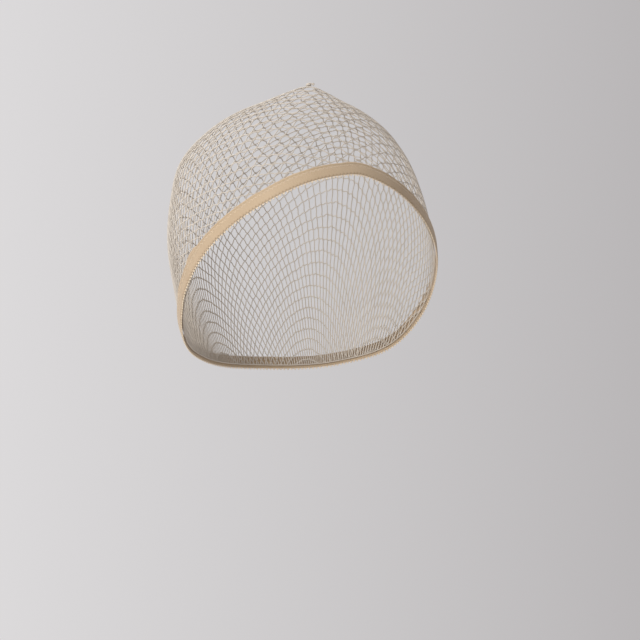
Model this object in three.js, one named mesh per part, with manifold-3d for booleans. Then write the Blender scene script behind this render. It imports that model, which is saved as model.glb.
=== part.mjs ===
// Hairnet: a dome of net gathered to a small peak, held by a tan elastic band.
// Millimetres, +Z up, wearer's face towards -Y. The origin is on the inside of
// the crown under the peak, where the top of the head sits.
import * as THREE from 'three';
import { mergeVertices } from 'three/addons/utils/BufferGeometryUtils.js';
import Module from 'manifold-3d';

const wasm = await Module();
wasm.setup();

const netWall = 1.2; // thickness of the net
const bandWidth = 8.9; // elastic band, across
const bandThick = 1.3; // elastic band, through
const clearance = 0.35; // kept between neighbouring pieces
const lengthOverBreadth = 1.1875; // of every level section of the head
const cellRadius = 14.2; // centre to corner of one net cell
const strandWidth = 6.8; // of the net's strands, between two gaps
const drapeRadius = 95; // of the ball that a cell keeps its area on
const smallestGap = 95; // square millimetres; smaller gaps at the band stay closed
const tuckUnderBand = 7.4; // how far the net reaches down behind the band
const plainAboveBand = 2.2; // closed edge of the net above the band
const peakFlat = 3.2; // flat top of the peak, middle to edge
const knotRadius = 2.4; // tie that sits on it
const knotHeight = 2;
const lapThick = 1; // end of the band, lapped behind its start
const lapBottom = 2; // lower edge of the lap, above that of the band
const lapAzimuth = -70.4; // degrees, front end of the lap
const lapMiddle = -76.5; // degrees, where the band rides over the lap
const lapReach = 12; // degrees to each side that the band stays lifted
const lapEase = 9; // degrees more in which it comes down again
const lapDip = 1; // how far the lifted band slips down
const netColumns = 32; // facets round the dome
const netRings = 9; // facets from the peak to the band
const bandColumns = 72;

// Level sections of the dome from the peak down: how far below the peak, half
// the breadth, and how far the section's middle lies behind the peak.
const sections = [
  { drop: 0, halfWidth: 0, setBack: 0 },
  { drop: 0.2, halfWidth: 3, setBack: 0.5 },
  { drop: 2.7, halfWidth: 10, setBack: 3.5 },
  { drop: 8.5, halfWidth: 23.5, setBack: 10 },
  { drop: 15, halfWidth: 38.5, setBack: 16.5 },
  { drop: 26, halfWidth: 54, setBack: 21 },
  { drop: 44, halfWidth: 68.5, setBack: 25 },
  { drop: 68, halfWidth: 76, setBack: 20.5 },
  { drop: 94, halfWidth: 79.5, setBack: 15 },
  { drop: 124, halfWidth: 78, setBack: 7 },
  { drop: 154, halfWidth: 74, setBack: -2 },
  { drop: 182, halfWidth: 66, setBack: -10 },
];

// Lower edge of the band, worn a little lower on the wearer's left: degrees from the
// middle of the forehead, and how far below the peak it runs.
const rim = [
  { azimuth: -180, drop: 171 },
  { azimuth: -140, drop: 167 },
  { azimuth: -110, drop: 153.5 },
  { azimuth: -90, drop: 132.5 },
  { azimuth: -75, drop: 114 },
  { azimuth: -60, drop: 97.4 },
  { azimuth: -40, drop: 79.6 },
  { azimuth: -20, drop: 66.9 },
  { azimuth: -6, drop: 62.4 },
  { azimuth: 5, drop: 61.3 },
  { azimuth: 13, drop: 64.1 },
  { azimuth: 25, drop: 71 },
  { azimuth: 40, drop: 83.8 },
  { azimuth: 60, drop: 105 },
  { azimuth: 75, drop: 121.5 },
  { azimuth: 90, drop: 138 },
  { azimuth: 110, drop: 156.5 },
  { azimuth: 140, drop: 168 },
  { azimuth: 180, drop: 171 },
];

// Upper edge of the lap: how far back along the band from its front end, and how
// far above the band's upper edge.
const lapEdge = [
  { along: 0, above: -1.2 },
  { along: 4.6, above: 1.6 },
  { along: 8, above: 1.9 },
  { along: 11.5, above: 2 },
  { along: 15.7, above: 1.5 },
  { along: 20.5, above: -0.4 },
];

const radians = Math.PI / 180;

// The rim's table carried past both ends, so that it runs smoothly over the nape.
const roundRim = [
  { azimuth: -220, drop: rim[rim.length - 2].drop },
  ...rim,
  { azimuth: 220, drop: rim[1].drop },
];

// Smooth curve through a table's rows; the slope at a row is that of its neighbours.
function follow(rows, along, column, x) {
  let i = 0;
  while (i < rows.length - 2 && x > rows[i + 1][along]) {
    i += 1;
  }
  const rise = (k) => {
    const step = rows[k + 1][along] - rows[k][along];
    return (rows[k + 1][column] - rows[k][column]) / step;
  };
  const slope = (k) => {
    if (k === 0) {
      return rise(0);
    }
    if (k === rows.length - 1) {
      return rise(k - 1);
    }
    const before = rows[k][along] - rows[k - 1][along];
    const after = rows[k + 1][along] - rows[k][along];
    return (rise(k - 1) * after + rise(k) * before) / (before + after);
  };
  const span = rows[i + 1][along] - rows[i][along];
  const t = (x - rows[i][along]) / span;
  const start = rows[i][column] * (2 * t ** 3 - 3 * t ** 2 + 1);
  const end = rows[i + 1][column] * (3 * t ** 2 - 2 * t ** 3);
  const bendIn = slope(i) * span * (t ** 3 - 2 * t ** 2 + t);
  const bendOut = slope(i + 1) * span * (t ** 3 - t ** 2);
  return start + end + bendIn + bendOut;
}

// The run is the way down the side of the dome from the peak.
sections[0].run = 0;
for (let i = 1; i < sections.length; i += 1) {
  const sideways = sections[i].halfWidth - sections[i - 1].halfWidth;
  const down = sections[i].drop - sections[i - 1].drop;
  sections[i].run = sections[i - 1].run + Math.hypot(sideways, down);
}
const longestRun = sections[sections.length - 1].run;
const peakHeight = netWall; // the net's outside over the origin

function onDome(azimuth, run) {
  const halfWidth = follow(sections, 'run', 'halfWidth', run);
  const setBack = follow(sections, 'run', 'setBack', run);
  const drop = follow(sections, 'run', 'drop', run);
  return new THREE.Vector3(
    halfWidth * Math.sin(azimuth),
    setBack - lengthOverBreadth * halfWidth * Math.cos(azimuth),
    peakHeight - drop,
  );
}

// A point that stands off the net's outside by a height along its normal.
function standOff(azimuth, run, height) {
  const point = onDome(azimuth, run);
  if (run < 0.01) {
    return point.add(new THREE.Vector3(0, 0, height));
  }
  const step = 0.02;
  const round = onDome(azimuth + step, run).sub(onDome(azimuth - step, run));
  const low = onDome(azimuth, Math.min(run + 0.5, longestRun));
  const down = low.sub(onDome(azimuth, run - 0.5));
  return point.addScaledVector(down.cross(round).normalize(), height);
}

function rimRun(azimuth) {
  const turned = Math.atan2(Math.sin(azimuth), Math.cos(azimuth)) / radians;
  const drop = follow(roundRim, 'azimuth', 'drop', turned);
  let near = 0;
  let far = longestRun;
  for (let i = 0; i < 40; i += 1) {
    const middle = (near + far) / 2;
    if (follow(sections, 'run', 'drop', middle) < drop) {
      near = middle;
    } else {
      far = middle;
    }
  }
  return near;
}

// Run of a line that keeps a distance above the band's lower edge.
function aboveRim(azimuth, distance) {
  const step = 0.02;
  const climb = rimRun(azimuth + step) - rimRun(azimuth - step);
  const run = rimRun(azimuth);
  const arc = onDome(azimuth + step, run).distanceTo(onDome(azimuth - step, run));
  return run - distance * Math.hypot(1, climb / arc);
}

function closedGeometry(points, triangles) {
  const geometry = new THREE.BufferGeometry();
  const flat = points.flatMap((p) => [p.x, p.y, p.z]);
  geometry.setAttribute('position', new THREE.Float32BufferAttribute(flat, 3));
  geometry.setIndex(triangles.flat());
  return geometry;
}

function toSolid(geometry) {
  const bare = geometry.clone();
  bare.deleteAttribute('normal');
  bare.deleteAttribute('uv');
  const merged = mergeVertices(bare, 1e-4);
  return new wasm.Manifold(new wasm.Mesh({
    numProp: 3,
    vertProperties: new Float32Array(merged.attributes.position.array),
    triVerts: new Uint32Array(merged.index.array),
  }));
}

function toGeometry(solid) {
  const mesh = solid.getMesh();
  const geometry = new THREE.BufferGeometry();
  const spots = new THREE.Float32BufferAttribute(mesh.vertProperties, 3);
  geometry.setAttribute('position', spots);
  geometry.setIndex(Array.from(mesh.triVerts));
  return geometry;
}

// Closed wall between two skins of the dome, open below.
function domeWall() {
  const points = [];
  const triangles = [];
  const skin = (height) => {
    const first = points.length;
    points.push(standOff(0, 0, height));
    for (let ring = 1; ring <= netRings; ring += 1) {
      for (let c = 0; c < netColumns; c += 1) {
        const azimuth = (c / netColumns) * 2 * Math.PI;
        const bottom = aboveRim(azimuth, bandWidth - tuckUnderBand);
        const share = ((ring - 1) / (netRings - 1)) ** 1.1;
        const run = peakFlat + (bottom - peakFlat) * share;
        points.push(standOff(azimuth, run, height));
      }
    }
    return first;
  };
  const at = (first, ring, c) => first + 1 + (ring - 1) * netColumns + (c % netColumns);
  const outer = skin(0);
  const inner = skin(-netWall);
  for (let c = 0; c < netColumns; c += 1) {
    triangles.push([outer, at(outer, 1, c), at(outer, 1, c + 1)]);
    triangles.push([inner, at(inner, 1, c + 1), at(inner, 1, c)]);
    for (let ring = 1; ring < netRings; ring += 1) {
      const [a, b] = [at(outer, ring, c), at(outer, ring, c + 1)];
      const [d, e] = [at(outer, ring + 1, c), at(outer, ring + 1, c + 1)];
      triangles.push([a, d, e], [a, e, b]);
      const [p, q] = [at(inner, ring, c), at(inner, ring, c + 1)];
      const [r, s] = [at(inner, ring + 1, c), at(inner, ring + 1, c + 1)];
      triangles.push([p, s, r], [p, q, s]);
    }
    const [a, b] = [at(outer, netRings, c), at(outer, netRings, c + 1)];
    const [p, q] = [at(inner, netRings, c), at(inner, netRings, c + 1)];
    triangles.push([a, p, q], [a, q, b]);
  }
  return closedGeometry(points, triangles);
}

// The flat sheet of net is laid on the peak and smoothed down the sides, where
// its cells grow longer as they grow narrower.
const sheetAzimuth = (p) => Math.atan2(p.x, -p.y);
const sheetRun = (p) => {
  const share = Math.min(p.length() / (2 * drapeRadius), 1);
  return 2 * drapeRadius * Math.asin(share);
};
const roomToBand = (p) => {
  const edge = aboveRim(sheetAzimuth(p), bandWidth + plainAboveBand);
  return edge - sheetRun(p);
};

// Keeps the part of a cell that lies above the band.
function cutAtBand(corners) {
  const kept = [];
  corners.forEach((corner, i) => {
    const next = corners[(i + 1) % corners.length];
    const room = roomToBand(corner);
    if (room >= 0) {
      kept.push(corner);
    }
    if ((room >= 0) !== (roomToBand(next) >= 0)) {
      let inside = room >= 0 ? corner : next;
      let outside = room >= 0 ? next : corner;
      for (let k = 0; k < 24; k += 1) {
        const middle = inside.clone().lerp(outside, 0.5);
        if (roomToBand(middle) >= 0) {
          inside = middle;
        } else {
          outside = middle;
        }
      }
      kept.push(inside);
    }
  });
  return kept;
}

function netCells() {
  const cells = [];
  const reach = Math.ceil(longestRun / cellRadius);
  const shrink = 1 - strandWidth / (Math.sqrt(3) * cellRadius);
  for (let column = -reach; column <= reach; column += 1) {
    for (let row = -reach; row <= reach; row += 1) {
      const lift = column % 2 === 0 ? 0 : 0.5;
      const middle = new THREE.Vector2(
        cellRadius * (1 + 1.5 * column),
        cellRadius * Math.sqrt(3) * (row + lift),
      );
      const corners = [];
      for (let k = 0; k < 6; k += 1) {
        const turn = (k * Math.PI) / 3;
        const arm = new THREE.Vector2(Math.cos(turn), Math.sin(turn));
        corners.push(arm.multiplyScalar(cellRadius * shrink).add(middle));
      }
      const kept = cutAtBand(corners);
      if (kept.length > 2 && Math.abs(THREE.ShapeUtils.area(kept)) > smallestGap) {
        cells.push(kept);
      }
    }
  }
  return cells;
}

// Plug that reaches through the net where a cell is open.
function cellPlug(corners) {
  const count = corners.length;
  const beyond = 3.5;
  const stand = (height) => corners.map(
    (p) => standOff(sheetAzimuth(p), sheetRun(p), height),
  );
  const points = [...stand(beyond), ...stand(-netWall - beyond)];
  const triangles = [];
  for (let i = 0; i < count; i += 1) {
    const j = (i + 1) % count;
    triangles.push([i, count + i, count + j], [i, count + j, j]);
    if (i > 0 && j > 0) {
      triangles.push([0, i, j], [count, count + j, count + i]);
    }
  }
  return closedGeometry(points, triangles);
}

// Ring or strip swept along the rim: each station gives the four corners of its
// section and the middles of its two faces.
function sweep(stations, closed) {
  const points = stations.flat();
  const size = stations[0].length;
  const triangles = [];
  const last = closed ? stations.length : stations.length - 1;
  for (let i = 0; i < last; i += 1) {
    const here = i * size;
    const next = ((i + 1) % stations.length) * size;
    for (let k = 0; k < size; k += 1) {
      const m = (k + 1) % size;
      triangles.push([here + k, here + m, next + m], [here + k, next + m, next + k]);
    }
  }
  if (!closed) {
    const end = (stations.length - 1) * size;
    for (let k = 1; k < size - 1; k += 1) {
      triangles.push([0, k + 1, k], [end, end + k, end + k + 1]);
    }
  }
  return closedGeometry(points, triangles);
}

// A spot on the band: how far round its middle, how far above its lower edge and
// how far off the net, on a line square to the band's own course.
function onBand(azimuth, across, height) {
  const step = 0.02;
  const run = rimRun(azimuth);
  const climb = (rimRun(azimuth + step) - rimRun(azimuth - step)) / (2 * step);
  const ahead = onDome(azimuth + step, run);
  const arc = ahead.distanceTo(onDome(azimuth - step, run)) / (2 * step);
  const aside = ((across - bandWidth / 2) * climb) / Math.hypot(climb, arc);
  const turned = azimuth + aside / arc;
  return standOff(turned, aboveRim(turned, across), height);
}

function strapSection(azimuth, bottom, top, low, high) {
  const middle = (bottom + top) / 2;
  return [
    onBand(azimuth, middle, low),
    onBand(azimuth, top, low),
    onBand(azimuth, top, high),
    onBand(azimuth, middle, high),
    onBand(azimuth, bottom, high),
    onBand(azimuth, bottom, low),
  ];
}

// How much of the band's course is over the lap: 1 on it, 0 away from it.
function overLap(azimuth) {
  const turned = Math.atan2(Math.sin(azimuth), Math.cos(azimuth)) / radians;
  const past = Math.abs(turned - lapMiddle) - lapReach;
  return 1 - THREE.MathUtils.smoothstep(past, 0, lapEase);
}

function bandRing() {
  const stations = [];
  for (let i = 0; i < bandColumns; i += 1) {
    const azimuth = (i / bandColumns) * 2 * Math.PI;
    const inside = clearance + (lapThick + clearance) * overLap(azimuth);
    const bottom = -lapDip * overLap(azimuth);
    stations.push(strapSection(azimuth, bottom, bottom + bandWidth, inside, inside + bandThick));
  }
  return sweep(stations, true);
}

// The band's end, tucked between the net and the band, with a corner that shows
// above the band's upper edge.
function lapStrip() {
  const stations = [];
  const outside = clearance + lapThick;
  let azimuth = lapAzimuth * radians;
  lapEdge.forEach((row, i) => {
    if (i > 0) {
      const step = 0.01;
      const ahead = onBand(azimuth - step, bandWidth / 2, 0);
      const pace = ahead.distanceTo(onBand(azimuth, bandWidth / 2, 0)) / step;
      azimuth -= (row.along - lapEdge[i - 1].along) / pace;
    }
    const top = bandWidth + row.above;
    stations.push(strapSection(azimuth, lapBottom, top, clearance, outside));
  });
  return sweep(stations.reverse(), false);
}

function knot() {
  const geometry = new THREE.CylinderGeometry(knotRadius * 0.6, knotRadius, knotHeight, 14);
  geometry.rotateX(Math.PI / 2);
  geometry.translate(0, 0, peakHeight + clearance + knotHeight / 2);
  return toGeometry(toSolid(geometry));
}

const plugs = netCells().map((cell) => toSolid(cellPlug(cell)));
const cutNet = toSolid(domeWall()).subtract(wasm.Manifold.union(plugs));

const yarn = () => new THREE.MeshStandardMaterial({ color: 0xcdc1b2, roughness: 0.85 });
const elastic = () => new THREE.MeshStandardMaterial({ color: 0xcdb083, roughness: 0.8 });

function named(name, geometry, material) {
  const mesh = new THREE.Mesh(geometry, material);
  mesh.name = name;
  return mesh;
}

const hairnet = new THREE.Group();
hairnet.name = 'hairnet';
hairnet.add(
  named('net_crown', toGeometry(cutNet), yarn()),
  named('elastic_band', bandRing(), elastic()),
  named('band_lap', lapStrip(), elastic()),
  named('crown_knot', knot(), yarn()),
);

export default hairnet;
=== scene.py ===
import bpy
import math
import numpy as np
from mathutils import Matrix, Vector


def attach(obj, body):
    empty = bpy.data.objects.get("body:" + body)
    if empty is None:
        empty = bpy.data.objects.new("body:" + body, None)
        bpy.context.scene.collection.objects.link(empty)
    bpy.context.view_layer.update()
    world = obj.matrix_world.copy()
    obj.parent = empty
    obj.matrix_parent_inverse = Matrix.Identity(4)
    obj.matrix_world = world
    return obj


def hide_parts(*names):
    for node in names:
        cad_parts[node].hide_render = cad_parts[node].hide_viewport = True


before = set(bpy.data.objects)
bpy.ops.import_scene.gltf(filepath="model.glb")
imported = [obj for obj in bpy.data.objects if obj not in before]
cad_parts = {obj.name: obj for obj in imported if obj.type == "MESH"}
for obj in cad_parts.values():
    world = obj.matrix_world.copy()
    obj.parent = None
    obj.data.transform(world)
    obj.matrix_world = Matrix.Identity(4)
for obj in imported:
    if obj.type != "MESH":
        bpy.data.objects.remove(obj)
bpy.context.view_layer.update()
print("frame loaded:", ", ".join(sorted(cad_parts)))

mm = 0.001
turnStep = 0.02  # radians either way, for slopes round the dome
runStep = 0.5  # and mm down its side
fineSteps = 4000  # along the band, to measure its way

# the dome that the net is stretched to, in mm; the peak is over the origin and the front towards -Y
domeForm = {
    "lengthOverBreadth": 1.1875,
    "peakHeight": 1.2,  # outside of the net over the origin
    "sections": np.array([  # drop below the peak, half breadth, middle set back
        (0, 0, 0), (0.2, 3, 0.5), (2.7, 10, 3.5), (8.5, 23.5, 10), (15, 38.5, 16.5), (26, 54, 21),
        (44, 68.5, 25), (68, 76, 20.5), (94, 79.5, 15), (124, 78, 7), (154, 74, -2), (182, 66, -10)], float),
    "rim": np.array([  # degrees from the front, drop of the band's lower edge
        (-220, 168), (-180, 171), (-140, 167), (-110, 153.5), (-90, 132.5), (-75, 114), (-60, 97.4),
        (-40, 79.6), (-20, 66.9), (-6, 62.4), (5, 61.3), (13, 64.1), (25, 71), (40, 83.8), (60, 105),
        (75, 121.5), (90, 138), (110, 156.5), (140, 168), (180, 171), (220, 167)], float),
}


def follow(knots, values, x):  # smooth curve through the rows of a table
    x = np.asarray(x, float)
    span = np.diff(knots)
    rise = np.diff(values) / span
    inner = (rise[:-1] * span[1:] + rise[1:] * span[:-1]) / (span[1:] + span[:-1])
    slope = np.concatenate([rise[:1], inner, rise[-1:]])
    i = np.clip(np.searchsorted(knots, x) - 1, 0, len(knots) - 2)
    t = (x - knots[i]) / span[i]
    ends = values[i] * (2 * t**3 - 3 * t**2 + 1) + values[i + 1] * (3 * t**2 - 2 * t**3)
    bends = slope[i] * (t**3 - 2 * t**2 + t) + slope[i + 1] * (t**3 - t**2)
    return ends + bends * span[i]


sectionDrop, sectionHalf, sectionBack = domeForm["sections"].T
sectionRun = np.concatenate([[0], np.cumsum(np.hypot(np.diff(sectionHalf), np.diff(sectionDrop)))])
fineRun = np.linspace(0, sectionRun[-1], 3000)  # close enough to look a drop up
fineDrop = follow(sectionRun, sectionDrop, fineRun)


def onDome(azimuth, run):  # run is the way down the side from the peak
    half = follow(sectionRun, sectionHalf, run)
    y = follow(sectionRun, sectionBack, run) - domeForm["lengthOverBreadth"] * half * np.cos(azimuth)
    z = domeForm["peakHeight"] - follow(sectionRun, sectionDrop, run)
    return np.stack([half * np.sin(azimuth), y, z], -1)


def unit(v):
    return v / np.maximum(np.linalg.norm(v, axis=-1, keepdims=True), 1e-9)


def outwardAt(azimuth, run):
    run = np.maximum(run, 0.6)  # the peak itself has no way aside
    aside = onDome(azimuth + turnStep, run) - onDome(azimuth - turnStep, run)
    down = onDome(azimuth, run + runStep) - onDome(azimuth, run - runStep)
    return unit(np.cross(down, aside))


def standOff(azimuth, run, height):
    return onDome(azimuth, run) + outwardAt(azimuth, run) * np.broadcast_to(height, np.shape(run))[..., None]


def inDegrees(azimuth):  # within half a turn of the front
    return np.degrees(np.arctan2(np.sin(azimuth), np.cos(azimuth)))


def rimRun(azimuth):
    return np.interp(follow(*domeForm["rim"].T, inDegrees(azimuth)), fineDrop, fineRun)


def rimSlope(azimuth):  # fall of the rim and way round, for each radian
    climb = (rimRun(azimuth + turnStep) - rimRun(azimuth - turnStep)) / (2 * turnStep)
    run = rimRun(azimuth)
    aside = onDome(azimuth + turnStep, run) - onDome(azimuth - turnStep, run)
    return climb, np.linalg.norm(aside, axis=-1) / (2 * turnStep)


def aboveRim(azimuth, distance):  # run of a line that keeps its distance from the rim
    climb, arc = rimSlope(azimuth)
    return rimRun(azimuth) - distance * np.hypot(1, climb / arc)


# the elastic band: woven, with a rolled upper edge and small loops along the lower one
bandLook = {
    "width": 8.9,
    "loopRoom": 1.15,  # lowest part, where only the loops reach
    "loopPitch": 2.25,
    "ribPitch": 1.05,
    "ribHeight": 0.17,
    "stepsPerRib": 4,
    "twill": 1 / 3,  # how much of a rib each row of the weave is behind the one below
    "uneven": 0.13,  # waver of the upper edge
    "wavers": ((23, 1.0, 0), (41, 0.7, 1), (67, 0.5, 2)),  # waves round the band, share, start
    "lapMiddle": -76.5,  # degrees, where the band passes over its own end
    "lapReach": 12,
    "lapEase": 9,
    "lapLift": 1.35,  # how far it rises off the net there
    "lapDip": 1.0,  # and how far it drops
    "eyeletAcross": 0.6,  # middle of the eyelets over the loops, above the webbing's lower edge
    "eyeletSize": (0.42, 0.36),  # along and across
    "eyeletDepth": 0.5,
    "section": np.array([  # share of the way across, height over the net, how far the weave shows
        (0.00, 0.85, 0), (0.02, 1.22, 0.3), (0.05, 1.33, 0.6), (0.08, 1.37, 0.8), (0.115, 1.39, 0.9),
        (0.16, 1.40, 1), (0.23, 1.42, 1), (0.31, 1.43, 1), (0.39, 1.44, 1), (0.47, 1.44, 1), (0.55, 1.43, 1),
        (0.63, 1.42, 1), (0.71, 1.40, 1), (0.77, 1.36, 0.7), (0.80, 1.26, 0.3), (0.825, 1.38, 0.3),
        (0.87, 1.54, 0.6), (0.92, 1.58, 0.6), (0.965, 1.47, 0.4), (1.00, 1.02, 0), (0.985, 0.55, 0),
        (0.94, 0.38, 0.2), (0.70, 0.37, 0.6), (0.45, 0.37, 0.6), (0.20, 0.37, 0.6), (0.03, 0.42, 0)]),
}


def overLap(azimuth):  # 1 where the band passes over its own end, 0 away from it
    away = np.abs(inDegrees(azimuth) - bandLook["lapMiddle"])
    t = np.clip((away - bandLook["lapReach"]) / bandLook["lapEase"], 0, 1)
    return 1 - t * t * (3 - 2 * t)


def bandSpot(azimuth, across):  # azimuth and run on a line square to the band's course
    climb, arc = rimSlope(azimuth)
    turned = azimuth + (across - bandLook["width"] / 2) * climb / np.hypot(climb, arc) / arc
    return turned, aboveRim(turned, across)


def onBand(azimuth, across, height):
    return standOff(*bandSpot(azimuth, across), height)


def bandWay(start=0.0, turn=2 * math.pi):  # azimuths along the band's middle, and the way to each
    fine = np.linspace(start, start + turn, fineSteps + 1)
    line = onBand(fine, np.full(len(fine), bandLook["width"] / 2), 0.0)
    return fine, np.concatenate([[0], np.cumsum(np.linalg.norm(np.diff(line, axis=0), axis=1))])


def bandTurns(count, start=0.0, turn=2 * math.pi, last=False):  # azimuths at even steps along the band
    fine, way = bandWay(start, turn)
    return np.interp(np.linspace(0, way[-1], count, endpoint=last), way, fine)


def linear(red, green, blue):  # colour as seen on a screen, 0 to 255, for a shader
    share = [c / 255 for c in (red, green, blue)]
    return tuple(c / 12.92 if c <= 0.04045 else ((c + 0.055) / 1.055) ** 2.4 for c in share) + (1,)


def newPiece(name, points, edges=(), faces=()):
    mesh = bpy.data.meshes.new(name)
    mesh.from_pydata((np.asarray(points) * mm).tolist(), list(edges), list(faces))
    mesh.update()
    piece = bpy.data.objects.new(name, mesh)
    bpy.context.scene.collection.objects.link(piece)
    return piece


def wirePiece(name, runs, closed=()):  # open runs of points, then closed rings
    points, edges = [], []
    for ring, run in [(False, r) for r in runs] + [(True, r) for r in closed]:
        first = len(points)
        points.extend(run)
        edges.extend((first + k, first + k + 1) for k in range(len(run) - 1))
        if ring:
            edges.append((len(points) - 1, first))
    return newPiece(name, points, edges)


def giveVectors(piece, name, vectors):
    layer = piece.data.attributes.new(name, "FLOAT_VECTOR", "POINT")
    layer.data.foreach_set("vector", np.asarray(vectors, np.float32).ravel())


def giveNumbers(piece, name, numbers):
    layer = piece.data.attributes.new(name, "FLOAT", "POINT")
    layer.data.foreach_set("value", np.asarray(numbers, np.float32).ravel())


def node(tree, kind, **settings):
    made = tree.nodes.new(kind)
    for key, value in settings.items():
        setattr(made, key, value)
    return made


def feed(tree, socket, value):  # a link from another socket, or a plain value
    if isinstance(value, bpy.types.NodeSocket):
        tree.links.new(value, socket)
    else:
        socket.default_value = value


def calc(tree, operation, *values):
    made = node(tree, "ShaderNodeMath", operation=operation)
    for socket, value in zip(made.inputs, values):
        feed(tree, socket, value)
    return made.outputs[0]


def startTree(name, inputs):  # geometry tree with named inputs
    tree = bpy.data.node_groups.new(name, "GeometryNodeTree")
    tree.interface.new_socket(name="Geometry", in_out="INPUT", socket_type="NodeSocketGeometry")
    for label, kind in inputs.items():
        tree.interface.new_socket(name=label, in_out="INPUT", socket_type=kind)
    tree.interface.new_socket(name="Geometry", in_out="OUTPUT", socket_type="NodeSocketGeometry")
    return tree, node(tree, "NodeGroupInput").outputs


def endTree(tree, source, material):
    smooth = node(tree, "GeometryNodeSetShadeSmooth")
    real = node(tree, "GeometryNodeRealizeInstances")
    dress = node(tree, "GeometryNodeSetMaterial")
    dress.inputs["Material"].default_value = material
    tree.links.new(source, real.inputs[0])
    tree.links.new(real.outputs[0], smooth.inputs[0])
    tree.links.new(smooth.outputs[0], dress.inputs["Geometry"])
    tree.links.new(dress.outputs[0], node(tree, "NodeGroupOutput").inputs[0])
    return tree


def runTree(piece, tree, values):  # modifier in, plain mesh out
    names = {item.name: item.identifier for item in tree.interface.items_tree if item.in_out == "INPUT"}
    modifier = piece.modifiers.new("build", "NODES")
    modifier.node_group = tree
    for label, value in values.items():
        modifier[names[label]] = value
    graph = bpy.context.evaluated_depsgraph_get()
    made = bpy.data.meshes.new_from_object(
        piece.evaluated_get(graph), preserve_all_data_layers=True, depsgraph=graph)
    piece.modifiers.remove(modifier)
    wire, piece.data = piece.data, made
    bpy.data.meshes.remove(wire)
    made.name = piece.name
    made.calc_loop_triangles()
    print(piece.name, len(made.loop_triangles), "triangles")
    return piece


def attribute(tree, label, kind):
    made = node(tree, "GeometryNodeInputNamedAttribute", data_type=kind)
    made.inputs["Name"].default_value = label
    return made.outputs["Attribute"]


def store(tree, geometry, label, value):
    made = node(tree, "GeometryNodeStoreNamedAttribute", data_type="FLOAT", domain="POINT")
    made.inputs["Name"].default_value = label
    tree.links.new(geometry, made.inputs["Geometry"])
    tree.links.new(value, made.inputs["Value"])
    return made.outputs[0]


# yarn round a curve, with the way along and around kept for its twist
def yarnTube(tree, curve, radius, sides):
    way = node(tree, "GeometryNodeSplineParameter").outputs
    path = store(tree, curve, "along", way["Length"])
    ring = node(tree, "GeometryNodeCurvePrimitiveCircle")
    feed(tree, ring.inputs["Radius"], radius)
    feed(tree, ring.inputs["Resolution"], sides)
    turn = node(tree, "GeometryNodeSplineParameter").outputs
    profile = store(tree, ring.outputs[0], "around", turn["Factor"])
    tube = node(tree, "GeometryNodeCurveToMesh")
    tube.inputs["Fill Caps"].default_value = True
    tree.links.new(path, tube.inputs["Curve"])
    tree.links.new(profile, tube.inputs["Profile Curve"])
    return tube.outputs[0]


def yarnTree(name, material):  # yarn along every run of a wire mesh
    tree, given = startTree(name, {"Yarn Radius": "NodeSocketFloat", "Yarn Sides": "NodeSocketInt"})
    curve = node(tree, "GeometryNodeMeshToCurve")
    tree.links.new(given["Geometry"], curve.inputs[0])
    tube = yarnTube(tree, curve.outputs[0], given["Yarn Radius"], given["Yarn Sides"])
    return endTree(tree, tube, material)


def newFinish(name, roughness, sheen):
    material = bpy.data.materials.new(name)
    material.use_nodes = True
    shader = material.node_tree.nodes["Principled BSDF"]
    shader.inputs["Roughness"].default_value = roughness
    shader.inputs["Sheen Weight"].default_value = sheen
    shader.inputs["Sheen Roughness"].default_value = 0.5
    return material, material.node_tree, shader


def cloudy(tree, scale):
    noise = node(tree, "ShaderNodeTexNoise")
    noise.inputs["Scale"].default_value = scale
    noise.inputs["Detail"].default_value = 3.0
    tree.links.new(node(tree, "ShaderNodeTexCoord").outputs["Object"], noise.inputs["Vector"])
    return noise.outputs["Fac"]


def between(tree, share, low, high):  # colour between two, on the mix node's colour sockets
    mix = node(tree, "ShaderNodeMix", data_type="RGBA")
    for socket, value in ((0, share), (6, low), (7, high)):
        feed(tree, mix.inputs[socket], value)
    return mix.outputs[2]


def mixed(tree, *parts):  # sum of values, each times its share
    total = None
    for value, share in parts:
        part = calc(tree, "MULTIPLY", value, share)
        total = part if total is None else calc(tree, "ADD", total, part)
    return total


def addBump(tree, shader, height, strength, distance):
    bump = node(tree, "ShaderNodeBump")
    bump.inputs["Strength"].default_value = strength
    bump.inputs["Distance"].default_value = distance
    tree.links.new(height, bump.inputs["Height"])
    tree.links.new(bump.outputs[0], shader.inputs["Normal"])


# shares of each effect in the colour, sizes of the noise, and the bump's strength and height in metres
yarnGrain = {
    "patch": 0.55, "fuzz": 0.3, "ply": 0.12, "patchScale": 45, "fuzzScale": 2600, "plies": 2.0,
    "plyRise": 0.5, "bump": 0.5, "bumpHeight": 0.00018}
webbingGrain = {
    "patch": 0.55, "fuzz": 0.45, "cross": 0.2, "patchScale": 30, "fuzzScale": 2200, "twill": 0.5,
    "crossRise": 0.6, "bump": 0.5, "bumpHeight": 0.0002, "eyeletShade": 0.85}


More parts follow.
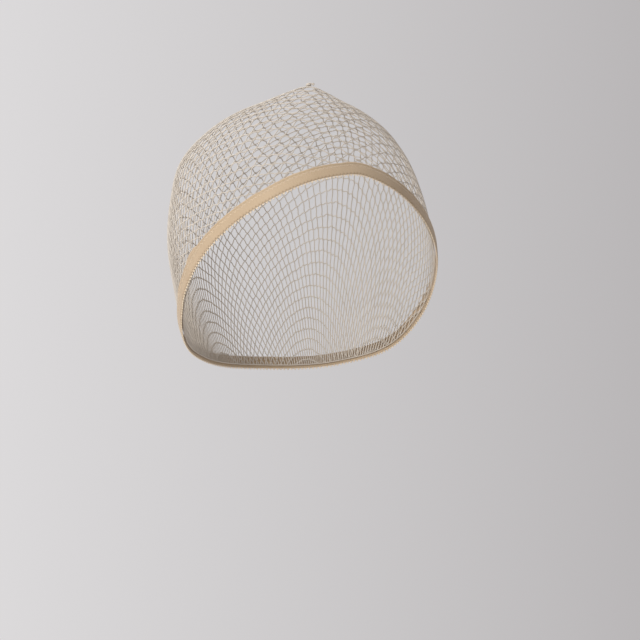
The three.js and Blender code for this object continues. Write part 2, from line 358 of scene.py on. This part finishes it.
def yarnFinish(name, look):  # plied yarn with some fuzz, and painted shade in the dips between the plies
    grain = yarnGrain
    material, tree, shader = newFinish(name, look["roughness"], look["sheen"])
    along = node(tree, "ShaderNodeAttribute", attribute_name="along").outputs["Fac"]
    around = node(tree, "ShaderNodeAttribute", attribute_name="around").outputs["Fac"]
    turns = calc(tree, "ADD", calc(tree, "DIVIDE", along, look["twist"] * mm),
                 calc(tree, "MULTIPLY", around, grain["plies"]))
    ply = calc(tree, "SINE", calc(tree, "MULTIPLY", turns, 2 * math.pi))
    fuzz = cloudy(tree, grain["fuzzScale"])
    patch = cloudy(tree, grain["patchScale"])
    # the plies in the colour: painted shade where the yarn dips between them
    share = mixed(tree, (patch, grain["patch"]), (fuzz, grain["fuzz"]), (ply, grain["ply"]))
    tree.links.new(between(tree, share, look["shade"], look["light"]), shader.inputs["Base Color"])
    height = calc(tree, "ADD", calc(tree, "MULTIPLY", ply, grain["plyRise"]), fuzz)
    addBump(tree, shader, height, grain["bump"], grain["bumpHeight"])
    return material


def webbingFinish(name, look):  # weave on the band's own UV: u in mm along, v in shares across; the colour follows the weave's relief, with painted shade in its grooves
    grain = webbingGrain
    material, tree, shader = newFinish(name, look["roughness"], look["sheen"])
    weave = node(tree, "ShaderNodeSeparateXYZ")
    tree.links.new(node(tree, "ShaderNodeUVMap", uv_map="weave").outputs[0], weave.inputs[0])
    warp = calc(tree, "MULTIPLY", weave.outputs["Y"], 2 * math.pi * look["cords"])
    weft = calc(tree, "MULTIPLY", weave.outputs["X"], 2 * math.pi / look["pick"])
    slant = calc(tree, "ADD", weft, calc(tree, "MULTIPLY", warp, grain["twill"]))
    cross = calc(tree, "MULTIPLY", calc(tree, "SINE", warp), calc(tree, "SINE", slant))
    fuzz = cloudy(tree, grain["fuzzScale"])
    patch = cloudy(tree, grain["patchScale"])
    # the weave's crossings in the colour: darker in the grooves between the cords, as painted shade
    share = mixed(tree, (cross, grain["cross"]), (patch, grain["patch"]), (fuzz, grain["fuzz"]))
    cloth = between(tree, share, look["shade"], look["light"])
    # painted shade in the eyelets: where dent is set, the cloth turns towards a dark brown that stands in for
    # the shadow seen through the holes
    dent = node(tree, "ShaderNodeAttribute", attribute_name="dent").outputs["Fac"]
    cloth = between(tree, calc(tree, "MULTIPLY", dent, grain["eyeletShade"]), cloth, look["paintedEyeletShade"])
    tree.links.new(cloth, shader.inputs["Base Color"])
    height = calc(tree, "ADD", calc(tree, "MULTIPLY", cross, grain["crossRise"]), fuzz)
    addBump(tree, shader, height, grain["bump"], grain["bumpHeight"])
    return material


# the net: yarns that zigzag across the sheet and meet their neighbours in short double bars
netLook = {
    "cellWide": 10.6,
    "cellTall": 6.9,
    "barLength": 2.4,
    "barEnds": 0.3,  # share of a bar's length from its middle to its two points
    "strandAt": (0.14, 0.5, 0.86),  # points of a strand, in shares of the way between two bars
    "barHalfGap": 0.32,  # half the distance between the two yarns of a bar
    "yarnRadius": 0.33,
    "yarnSides": 5,
    "depth": -0.6,  # middle of the yarn, under the net's outside
    # cells in 100 mm sideways: plain, by forward, by up and by sideways squared
    "acrossPull": (9.83, -10.42, -10.52, -8.28),
    # cells in 100 mm: forward, up, forward squared and up squared
    "forwardPull": (13.78, -2.63, -0.55, 4.39),
    "gatherFrom": 95,  # degrees, where the sides turn into the back
    "napeReach": 0.95,  # sheet in each mm down the back
    "napeTurn": 1.15,  # and its turn for each degree there
    "startAt": (0.25, 0.43),  # where the peak falls in a cell
    "wander": 0.22,  # how far a bar strays from its place
    "slack": 0.13,  # and the middle of a strand
    "hem": 3.0,  # the net's cut edge above the rim, behind the band
    "hemInset": 0.4,  # how far below that edge its ring of yarn lies
    "hemSteps": 360,
    "rows": (-28, 74),  # first, and one past the last
    "halfCells": 46,
    "splitRow": 20,  # rows from here on make the back piece
    "seed": 11,
    "relaxed": 0.8,  # size of the sheet before it is stretched
}
netYarn = yarnFinish("netYarn", {
    "roughness": 0.82, "sheen": 0.25, "twist": 1.1,
    "shade": linear(182, 171, 157), "light": linear(224, 215, 202)})


def frontSheet(azimuth, run):  # spot on the flat sheet, complex, front along +1, for a spot on the front
    x, y, z = np.moveaxis(onDome(azimuth, run), -1, 0) / 100
    ahead, up = -y, z - domeForm["peakHeight"] / 100
    plain, byAhead, byUp, bySide = netLook["acrossPull"]
    across = x * (plain + byAhead * ahead + byUp * up + bySide * x * x)
    plain, byUp, byAhead, byRise = netLook["forwardPull"]
    forward = plain * ahead + byUp * up + byAhead * ahead * ahead + byRise * up * up
    return forward * netLook["cellTall"] + 1j * across * netLook["cellWide"]


def bridge(t, start, startSlope, end, endSlope):  # smooth way from one value and slope to another
    ends = start * (2 * t**3 - 3 * t**2 + 1) + end * (3 * t**2 - 2 * t**3)
    return ends + startSlope * (t**3 - 2 * t**2 + t) + endSlope * (t**3 - t**2)


def onSheet(z):  # the same all round, with z the spot on the dome: front along +1, length the run
    turned, run = np.abs(np.angle(z)), np.abs(z)
    edge = math.radians(netLook["gatherFrom"])
    t = np.clip((turned - edge) / (math.pi - edge), 0, 1)
    here, ahead, behind = (frontSheet(np.full_like(run, edge + d), run) for d in (0, turnStep, -turnStep))
    pace = (math.pi - edge) / (2 * turnStep)
    turnEnd = netLook["napeTurn"] * (math.pi - edge)
    angle = bridge(t, np.angle(here), np.angle(ahead / behind) * pace, math.pi, turnEnd)
    reach = bridge(t, np.abs(here), (np.abs(ahead) - np.abs(behind)) * pace, netLook["napeReach"] * run, 0)
    w = np.where(t > 0, reach * np.exp(1j * angle), frontSheet(np.minimum(turned, edge), run))
    return np.where(np.angle(z) < 0, np.conj(w), w)


# rounds, step for slopes, least area for each mm2 of dome, longest stride and largest miss, in mm
sheetSearch = {"rounds": 30, "step": 1e-3, "leastArea": 0.05, "stride": 20, "miss": 0.02}


def fromSheet(w):  # the way back, found step by step; what the sheet doesn't reach is not a number
    z, h, least = w * 1.0, sheetSearch["step"], sheetSearch["leastArea"]
    for _ in range(sheetSearch["rounds"]):
        miss = onSheet(z) - w
        fx = (onSheet(z + h) - onSheet(z - h)) / (2 * h)
        fy = (onSheet(z + 1j * h) - onSheet(z - 1j * h)) / (2 * h)
        area = fx.real * fy.imag - fy.real * fx.imag
        area = np.where(np.abs(area) < least, least, area)
        dx = (miss.imag * fy.real - miss.real * fy.imag) / area
        dy = (fx.imag * miss.real - fx.real * miss.imag) / area
        z = z + (dx + 1j * dy) * np.minimum(1, sheetSearch["stride"] / np.maximum(np.hypot(dx, dy), 1e-9))
    return np.where(np.abs(onSheet(z) - w) < sheetSearch["miss"], z, np.nan)


def zigzagYarns():  # for each row its points on the flat sheet
    wide, tall, bar = netLook["cellWide"], netLook["cellTall"], netLook["barLength"]
    steps = np.arange(-netLook["halfCells"], netLook["halfCells"] + 1)
    each = np.arange(len(steps))
    rows = np.arange(*netLook["rows"])
    chance = np.random.RandomState(netLook["seed"])
    stray = chance.normal(0, netLook["wander"], (len(steps), len(rows) + 1, 2))
    sag = chance.normal(0, netLook["slack"], (len(steps), len(rows), 2))
    for r, row in enumerate(rows):
        own = (steps - row) % 2 == 0  # bars of this row; the others belong to the next
        seat = np.where(own, r, r + 1)
        x = steps * wide / 2 + stray[each, seat, 0]
        y = np.where(own, row, row + 1) * tall / 2 + stray[each, seat, 1]
        y = y + np.where(own, 1, -1) * netLook["barHalfGap"]
        here = np.stack([x + bar / 2, y], -1)[:-1]
        there = np.stack([x - bar / 2, y], -1)[1:]
        strand = [here + (there - here) * share for share in netLook["strandAt"]]
        strand[1] = strand[1] + sag[:-1, r]
        ends = [np.stack([x + side * netLook["barEnds"] * bar, y], -1)[:-1] for side in (-1, 1)]
        yield row, np.stack(ends + strand, 1).reshape(-1, 2)


def cutAtHem(z):  # the runs of a yarn that lie above the hem
    room = aboveRim(np.angle(z), netLook["hem"]) - np.abs(z)
    inside = room >= 0
    runs, run = [], []
    for k in range(len(z)):
        known = k > 0 and np.isfinite(room[k]) and np.isfinite(room[k - 1])
        if known and inside[k] != inside[k - 1]:
            run.append(z[k - 1] + (z[k] - z[k - 1]) * room[k - 1] / (room[k - 1] - room[k]))
        if inside[k]:
            run.append(z[k])
        elif run:
            runs.append(run)
            run = []
    return [np.array(r) for r in runs if len(r) > 1], inside


netRuns = {"net_front": [], "net_back": []}
netCut = {"net_front": [], "net_back": []}
startColumn, startRow = np.array(netLook["startAt"]) * (netLook["cellWide"], netLook["cellTall"])
sheetRows, sheetPoints = zip(*zigzagYarns())
sheetX, sheetY = np.moveaxis(np.array(sheetPoints), -1, 0)
places = fromSheet(startRow - sheetY + 1j * (sheetX - startColumn))
for row, flat, place in zip(sheetRows, sheetPoints, places):
    runs, inside = cutAtHem(place)
    half = "net_front" if row < netLook["splitRow"] else "net_back"
    netRuns[half].extend(standOff(np.angle(z), np.abs(z), netLook["depth"]) for z in runs)
    netCut[half].append(flat[inside])
hemTurn = np.linspace(-math.pi, math.pi, netLook["hemSteps"] + 1)[:-1]
hemRing = standOff(hemTurn, aboveRim(hemTurn, netLook["hem"] - netLook["hemInset"]), netLook["depth"])
netTree = yarnTree("net yarn", netYarn)
netPieces, netSheets = {}, {}
for half, rings in (("net_front", []), ("net_back", [hemRing])):
    yarnLength = sum(np.linalg.norm(np.diff(r, axis=0), axis=1).sum() for r in netRuns[half]) * mm
    cut = np.concatenate(netCut[half])
    netSheets[half] = {
        "flat": tuple(float(side) * netLook["relaxed"] * mm for side in np.ptp(cut, axis=0)),
        "area": float(yarnLength * math.pi * netLook["yarnRadius"] * mm),  # one side of the yarn
    }
    netPieces[half] = runTree(wirePiece(half, netRuns[half], rings), netTree, {
        "Yarn Radius": netLook["yarnRadius"] * mm, "Yarn Sides": netLook["yarnSides"]})
    print(half, "yarn", round(yarnLength, 2), "m, sheet", netSheets[half])


bandLength = bandWay()[1][-1]
loopCount = round(bandLength / bandLook["loopPitch"])
eyeletPitch = bandLength / loopCount


# strip of band as a plain closed mesh, with what its weave needs kept on its points
def webbing(name, azimuths, bottoms, tops, lifts, thick, closed, pitch, eyelets):
    share, height, show = bandLook["section"].T
    count, size = len(azimuths), len(share)
    around = np.repeat(azimuths, size)
    across = (bottoms[:, None] + (tops - bottoms)[:, None] * share).ravel()
    level = height[0] + (height - height[0]) * thick
    level = level - level.min() + height.min()
    spot = bandSpot(around, across)
    points = standOff(*spot, (lifts[:, None] + level).ravel())
    faces, corners = [], []
    last = count if closed else count - 1
    for i in range(last):
        here, there = i * size, (i + 1) % count * size
        near, far = i * pitch, (i + 1) * pitch
        for k in range(size):
            m = (k + 1) % size
            faces.append((here + k, there + k, there + m, here + m))
            corners += [(near, share[k]), (far, share[k]), (far, share[m]), (near, share[m])]
    if not closed:
        faces += [tuple(range(size)), tuple(last * size + k for k in reversed(range(size)))]
        corners += [(0, s) for s in share] + [(last * pitch, s) for s in reversed(share)]
    piece = newPiece(name, points, (), faces)
    piece.data.uv_layers.new(name="weave").data.foreach_set("uv", np.array(corners, np.float32).ravel())
    giveVectors(piece, "outward", outwardAt(*spot))
    # dent marks the eyelets over the loops: the weave dips in there, and the band's material paints shade
    # there
    beside = (np.arange(count)[:, None] * pitch / eyeletPitch + 0.5) % 1 - 0.5
    above = (tops - bottoms)[:, None] * share - bandLook["eyeletAcross"]
    wide, tall = bandLook["eyeletSize"]
    dent = np.clip(1 - (beside * eyeletPitch / wide) ** 2 - (above / tall) ** 2, 0, 1)
    outerSide = height > 1
    giveNumbers(piece, "dent", (dent * outerSide * eyelets).ravel())
    giveNumbers(piece, "show", np.tile(show, count))
    ribTurn = np.arange(count)[:, None] / bandLook["stepsPerRib"] + np.arange(size) * bandLook["twill"]
    giveNumbers(piece, "ribTurn", ribTurn.ravel())
    return piece


def weaveTree(name, material):  # lifts the weave's ribs out of a plain strip
    tree, given = startTree(name, {"Rib Height": "NodeSocketFloat", "Eyelet Depth": "NodeSocketFloat"})
    wave = calc(tree, "COSINE", calc(tree, "MULTIPLY", attribute(tree, "ribTurn", "FLOAT"), 2 * math.pi))
    lift = calc(tree, "MULTIPLY", wave, attribute(tree, "show", "FLOAT"))
    lift = calc(tree, "MULTIPLY", lift, calc(tree, "MULTIPLY", given["Rib Height"], 0.5))
    dent = calc(tree, "MULTIPLY", attribute(tree, "dent", "FLOAT"), given["Eyelet Depth"])
    lift = calc(tree, "SUBTRACT", lift, dent)
    offset = node(tree, "ShaderNodeVectorMath", operation="SCALE")
    tree.links.new(attribute(tree, "outward", "FLOAT_VECTOR"), offset.inputs[0])
    tree.links.new(lift, offset.inputs["Scale"])
    move = node(tree, "GeometryNodeSetPosition")
    tree.links.new(given["Geometry"], move.inputs["Geometry"])
    tree.links.new(offset.outputs[0], move.inputs["Offset"])
    return endTree(tree, move.outputs[0], material)


# the band's cloth; the dark brown given for the eyelets is painted shade
bandElastic = webbingFinish("bandElastic", {
    "roughness": 0.78, "sheen": 0.3, "cords": 12, "pick": 1.05,
    "shade": linear(160, 134, 101), "light": linear(208, 186, 157), "paintedEyeletShade": linear(112, 88, 62)})
bandWeave = weaveTree("band weave", bandElastic)
bandSteps = round(bandLength / bandLook["ribPitch"]) * bandLook["stepsPerRib"]
turns = bandTurns(bandSteps)
waver = sum(share * np.sin(turns * count + start) for count, share, start in bandLook["wavers"])
dip = bandLook["lapDip"] * overLap(turns)
band = webbing("elastic_band_webbing", turns, bandLook["loopRoom"] - dip,
               bandLook["width"] + bandLook["uneven"] * waver / 2 - dip, bandLook["lapLift"] * overLap(turns),
               1.0, True, bandLength / bandSteps, 1.0)
weaveSize = {"Rib Height": bandLook["ribHeight"] * mm, "Eyelet Depth": bandLook["eyeletDepth"] * mm}
runTree(band, bandWeave, weaveSize)
print("band", round(bandLength), "mm round")

# the band's other end, tucked behind it, with a corner above the upper edge
lapLook = {
    "azimuth": -70.4,  # degrees, front end
    "nearby": 0.2,  # radians behind that, to measure the band's mm for each radian
    "bottom": 2.0,
    "thick": 0.75,
    "edge": np.array([  # along from the front end, above the band's upper edge
        (0, -1.2), (4.6, 1.6), (8, 1.9), (11.5, 2), (15.7, 1.5), (20.5, -0.4)]),
}
lapLength = lapLook["edge"][-1, 0]
lapSteps = round(lapLength / bandLook["ribPitch"]) * bandLook["stepsPerRib"] + 1
lapStart = math.radians(lapLook["azimuth"])
lapPace = bandWay(lapStart - lapLook["nearby"], lapLook["nearby"])[1][-1] / lapLook["nearby"]
lapTurns = bandTurns(lapSteps, lapStart - lapLength / lapPace, lapLength / lapPace, True)
lapAbove = follow(*lapLook["edge"].T, np.linspace(lapLength, 0, lapSteps))
lap = webbing("band_lap_webbing", lapTurns, np.full(lapSteps, lapLook["bottom"]), bandLook["width"] + lapAbove,
              np.zeros(lapSteps), lapLook["thick"], False, lapLength / (lapSteps - 1), 0.0)
runTree(lap, bandWeave, weaveSize)

# loops along the lower edge
loopLook = {
    "wide": 0.82,
    "tall": 0.98,
    "threadRadius": 0.28,
    "height": 0.9,  # middle of the thread over the net
    "lean": 9,  # degrees either way
    "seed": 5,
    "tuck": 0.05,  # how far its ends reach into the webbing
    "arc": (168, 204),  # degrees, start and sweep
    "arcSteps": 8,
    "threadSides": 6,
    "headingStep": 0.004,  # radians either way, for the band's heading at a loop
}
loopYarn = yarnFinish("loopYarn", {
    "roughness": 0.75, "sheen": 0.3, "twist": 0.9,
    "shade": linear(218, 194, 158), "light": linear(250, 238, 218)})


def loopTree(name, material):  # one loop of thread on every point, hanging square to the band
    tree, given = startTree(name, {
        "Loop Width": "NodeSocketFloat", "Loop Height": "NodeSocketFloat", "Thread Radius": "NodeSocketFloat",
        "Lean": "NodeSocketFloat", "Seed": "NodeSocketInt"})
    arc = node(tree, "GeometryNodeCurveArc")
    arc.inputs["Resolution"].default_value = loopLook["arcSteps"]
    arc.inputs["Radius"].default_value = 1.0
    arc.inputs["Start Angle"].default_value = math.radians(loopLook["arc"][0])
    arc.inputs["Sweep Angle"].default_value = math.radians(loopLook["arc"][1])
    size = node(tree, "ShaderNodeCombineXYZ")
    tree.links.new(calc(tree, "MULTIPLY", given["Loop Width"], 0.5), size.inputs[0])
    tree.links.new(given["Loop Height"], size.inputs[1])
    size.inputs[2].default_value = 1.0
    shape = node(tree, "GeometryNodeTransform")
    tree.links.new(arc.outputs[0], shape.inputs["Geometry"])
    tree.links.new(size.outputs[0], shape.inputs["Scale"])
    tube = yarnTube(tree, shape.outputs[0], given["Thread Radius"], loopLook["threadSides"])
    upright = node(tree, "FunctionNodeAlignRotationToVector", axis="Z")
    tree.links.new(attribute(tree, "outward", "FLOAT_VECTOR"), upright.inputs["Vector"])
    ahead = node(tree, "FunctionNodeAlignRotationToVector", axis="X", pivot_axis="Z")
    tree.links.new(upright.outputs[0], ahead.inputs["Rotation"])
    tree.links.new(attribute(tree, "heading", "FLOAT_VECTOR"), ahead.inputs["Vector"])
    chance = node(tree, "FunctionNodeRandomValue", data_type="FLOAT")  # its sockets 2 and 3 are the limits
    tree.links.new(calc(tree, "MULTIPLY", given["Lean"], -1.0), chance.inputs[2])
    tree.links.new(given["Lean"], chance.inputs[3])
    tree.links.new(given["Seed"], chance.inputs["Seed"])
    tilt = node(tree, "FunctionNodeAxisAngleToRotation")
    tilt.inputs["Axis"].default_value = (0, 0, 1)
    tree.links.new(chance.outputs[1], tilt.inputs["Angle"])
    lean = node(tree, "FunctionNodeRotateRotation", rotation_space="LOCAL")
    tree.links.new(ahead.outputs[0], lean.inputs["Rotation"])
    tree.links.new(tilt.outputs[0], lean.inputs["Rotate By"])
    points = node(tree, "GeometryNodeMeshToPoints")
    tree.links.new(given["Geometry"], points.inputs[0])
    seat = node(tree, "GeometryNodeInstanceOnPoints")
    tree.links.new(points.outputs[0], seat.inputs["Points"])
    tree.links.new(tube, seat.inputs["Instance"])
    tree.links.new(lean.outputs[0], seat.inputs["Rotation"])
    return endTree(tree, seat.outputs[0], material)


loopTurns = bandTurns(loopCount)
loopAcross = bandLook["loopRoom"] + loopLook["tuck"] - bandLook["lapDip"] * overLap(loopTurns)
loopHeight = loopLook["height"] + bandLook["lapLift"] * overLap(loopTurns)
loops = newPiece("band_edge_loops", onBand(loopTurns, loopAcross, loopHeight))
giveVectors(loops, "outward", outwardAt(*bandSpot(loopTurns, loopAcross)))
nextSpot, lastSpot = (onBand(loopTurns + side * loopLook["headingStep"], loopAcross, loopHeight)
                      for side in (1, -1))
giveVectors(loops, "heading", unit(nextSpot - lastSpot))
runTree(loops, loopTree("edge loops", loopYarn), {
    "Loop Width": loopLook["wide"] * mm, "Loop Height": loopLook["tall"] * mm,
    "Thread Radius": loopLook["threadRadius"] * mm, "Lean": math.radians(loopLook["lean"]),
    "Seed": loopLook["seed"]})

# zigzag thread that sews the band to the net
seamLook = {"pitch": 2.6, "low": 5.9, "high": 7.35, "height": 1.47, "radius": 0.12, "sides": 6}
seamTurns = bandTurns(4 * round(bandLength / seamLook["pitch"]))
sway = np.array([0.5, 1.0, 0.5, 0.0])[np.arange(len(seamTurns)) % 4]
seamAcross = seamLook["low"] + (seamLook["high"] - seamLook["low"]) * sway
seamAcross = seamAcross - bandLook["lapDip"] * overLap(seamTurns)
seamLine = onBand(seamTurns, seamAcross, seamLook["height"] + bandLook["lapLift"] * overLap(seamTurns))
seam = wirePiece("band_seam_thread", [], [seamLine])
runTree(seam, yarnTree("seam thread", loopYarn), {
    "Yarn Radius": seamLook["radius"] * mm, "Yarn Sides": seamLook["sides"]})

# the tie at the peak: yarn wound in a small cone, with a short end that has its own knot
knotLook = {
    "base": 1.45, "top": 0.5, "low": 1.4, "high": 2.45, "turns": 2.7, "taper": 1.5, "windSteps": 64,
    "radius": 0.42, "sides": 10,
    "endAt": (2.6, -1.05, 1.75), "endArch": 0.5, "endSteps": 10,
    "endKnot": 0.42, "curlTurns": 1.5, "curlSteps": 22, "curlPace": 0.16, "curlStart": -0.7}
windShare = np.linspace(0, 1, knotLook["windSteps"])
windAngle = windShare * 2 * math.pi * knotLook["turns"]
windRadius = knotLook["base"] + (knotLook["top"] - knotLook["base"]) * windShare**knotLook["taper"]
wind = np.stack([windRadius * np.cos(windAngle), windRadius * np.sin(windAngle),
                 knotLook["low"] + (knotLook["high"] - knotLook["low"]) * windShare], -1)
endShare = np.linspace(0, 1, knotLook["endSteps"])[:, None]
end = wind[-1] * (1 - endShare) + np.array(knotLook["endAt"]) * endShare
end[:, 2] += knotLook["endArch"] * np.sin(endShare[:, 0] * math.pi)
curl = np.linspace(0, 2 * math.pi * knotLook["curlTurns"], knotLook["curlSteps"])
curlAside = knotLook["curlPace"] * curl + knotLook["curlStart"]
endKnot = end[-1] + knotLook["endKnot"] * np.stack([np.sin(curl), curlAside, 1 - np.cos(curl)], -1)
knot = wirePiece("crown_knot_yarn", [np.concatenate([wind, end[1:], endKnot[1:]])])
runTree(knot, yarnTree("knot yarn", netYarn), {
    "Yarn Radius": knotLook["radius"] * mm, "Yarn Sides": knotLook["sides"]})

for piece, cadNode, finish in (
        (netPieces["net_front"], "net_crown", "net_yarn"), (netPieces["net_back"], "net_crown", "net_yarn"),
        (knot, "crown_knot", "net_yarn"), (band, "elastic_band", "band_elastic"),
        (loops, "elastic_band", "band_elastic"), (seam, "elastic_band", "band_elastic"),
        (lap, "band_lap", "band_elastic")):
    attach(piece, "root")
    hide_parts(cadNode)
print("pieces ride on the frame")

# floor, light and camera
studio = {
    "target": Vector((0, 0.014, -0.0928)),
    "floorDrop": 1.3,
    "floorHalf": 9.0,
    "azimuth": -22,
    "distance": 1.8,
    "pixelsPerMetre": 1636,
    "targetColumn": 300,  # where the target falls in the frame, in pixels
    "targetRow": 241,
    "horizonRow": 440,
    "frameWidth": 640,
    "fadeReach": 0.14,  # sideways part of the view's direction where the backdrop's painted fall from light to shade ends
    "paintedLitSide": linear(224, 222, 223),
    "paintedShadeSide": linear(180, 177, 178),
    "floorTones": (linear(238, 237, 236), linear(244, 243, 242)),
    "floorPatch": 1.5,
    "floorRoughness": 0.9,
    "sensor": 36,  # mm
    "lights": (  # right, near, up, size, power
        ("keyLight", -1.3, 1.1, 0.8, 0.9, 26), ("topLight", -0.2, -0.3, 1.6, 1.2, 6)),
}
reach, drop = studio["floorHalf"] / mm, studio["floorDrop"] / mm
floor = newPiece("floor", [(x * reach, y * reach, -drop) for x, y in ((-1, -1), (1, -1), (1, 1), (-1, 1))],
                 (), [(0, 1, 2, 3)])
paleFloor, floorTree, floorShader = newFinish("paleFloor", studio["floorRoughness"], 0.0)
floorTone = between(floorTree, cloudy(floorTree, studio["floorPatch"]), *studio["floorTones"])
floorTree.links.new(floorTone, floorShader.inputs["Base Color"])
floor.data.materials.append(paleFloor)

turn = math.radians(studio["azimuth"])
toCamera = Vector((math.sin(turn), -math.cos(turn), 0))
toRight = Vector((math.cos(turn), math.sin(turn), 0))

# the world lights the scene and shows as the backdrop; its colour is painted light on the left and painted
# shade on the right, as from the key light
world = bpy.data.worlds.new("studio")
world.use_nodes = True
side = node(world.node_tree, "ShaderNodeVectorMath", operation="DOT_PRODUCT")
side.inputs[1].default_value = toRight
viewWay = node(world.node_tree, "ShaderNodeTexCoord").outputs["Generated"]
world.node_tree.links.new(viewWay, side.inputs[0])
fade = node(world.node_tree, "ShaderNodeMapRange")
fade.inputs["From Min"].default_value = -studio["fadeReach"]
fade.inputs["From Max"].default_value = studio["fadeReach"]
world.node_tree.links.new(side.outputs["Value"], fade.inputs["Value"])
sky = world.node_tree.nodes["Background"]
paintedSkyShading = between(world.node_tree, fade.outputs[0], studio["paintedLitSide"], studio["paintedShadeSide"])
world.node_tree.links.new(paintedSkyShading, sky.inputs["Color"])
bpy.context.scene.world = world


def softLight(name, right, near, up, size, power):
    lamp = bpy.data.lights.new(name, "AREA")
    lamp.shape = "DISK"
    lamp.size = size
    lamp.energy = power
    holder = bpy.data.objects.new(name, lamp)
    holder.location = studio["target"] + toRight * right + toCamera * near + Vector((0, 0, up))
    holder.rotation_euler = (studio["target"] - holder.location).to_track_quat("-Z", "Y").to_euler()
    bpy.context.scene.collection.objects.link(holder)


for light in studio["lights"]:
    softLight(*light)

camera = bpy.data.cameras.new("camera")
focal = studio["pixelsPerMetre"] * studio["distance"]  # in pixels
camera.sensor_width = studio["sensor"]
camera.lens = studio["sensor"] * focal / studio["frameWidth"]
camera.clip_end = 100
eye = bpy.data.objects.new("camera", camera)
eye.location = (studio["target"] + toCamera * studio["distance"]
                + toRight * (studio["frameWidth"] / 2 - studio["targetColumn"]) / studio["pixelsPerMetre"]
                - Vector((0, 0, (studio["horizonRow"] - studio["targetRow"]) / studio["pixelsPerMetre"])))
tilt = math.atan((studio["horizonRow"] - studio["frameWidth"] / 2) / focal)
eye.rotation_euler = (math.pi / 2 + tilt, 0, turn)
bpy.context.scene.collection.objects.link(eye)
bpy.context.scene.camera = eye
bpy.context.scene.view_settings.view_transform = "Standard"
print("studio ready")
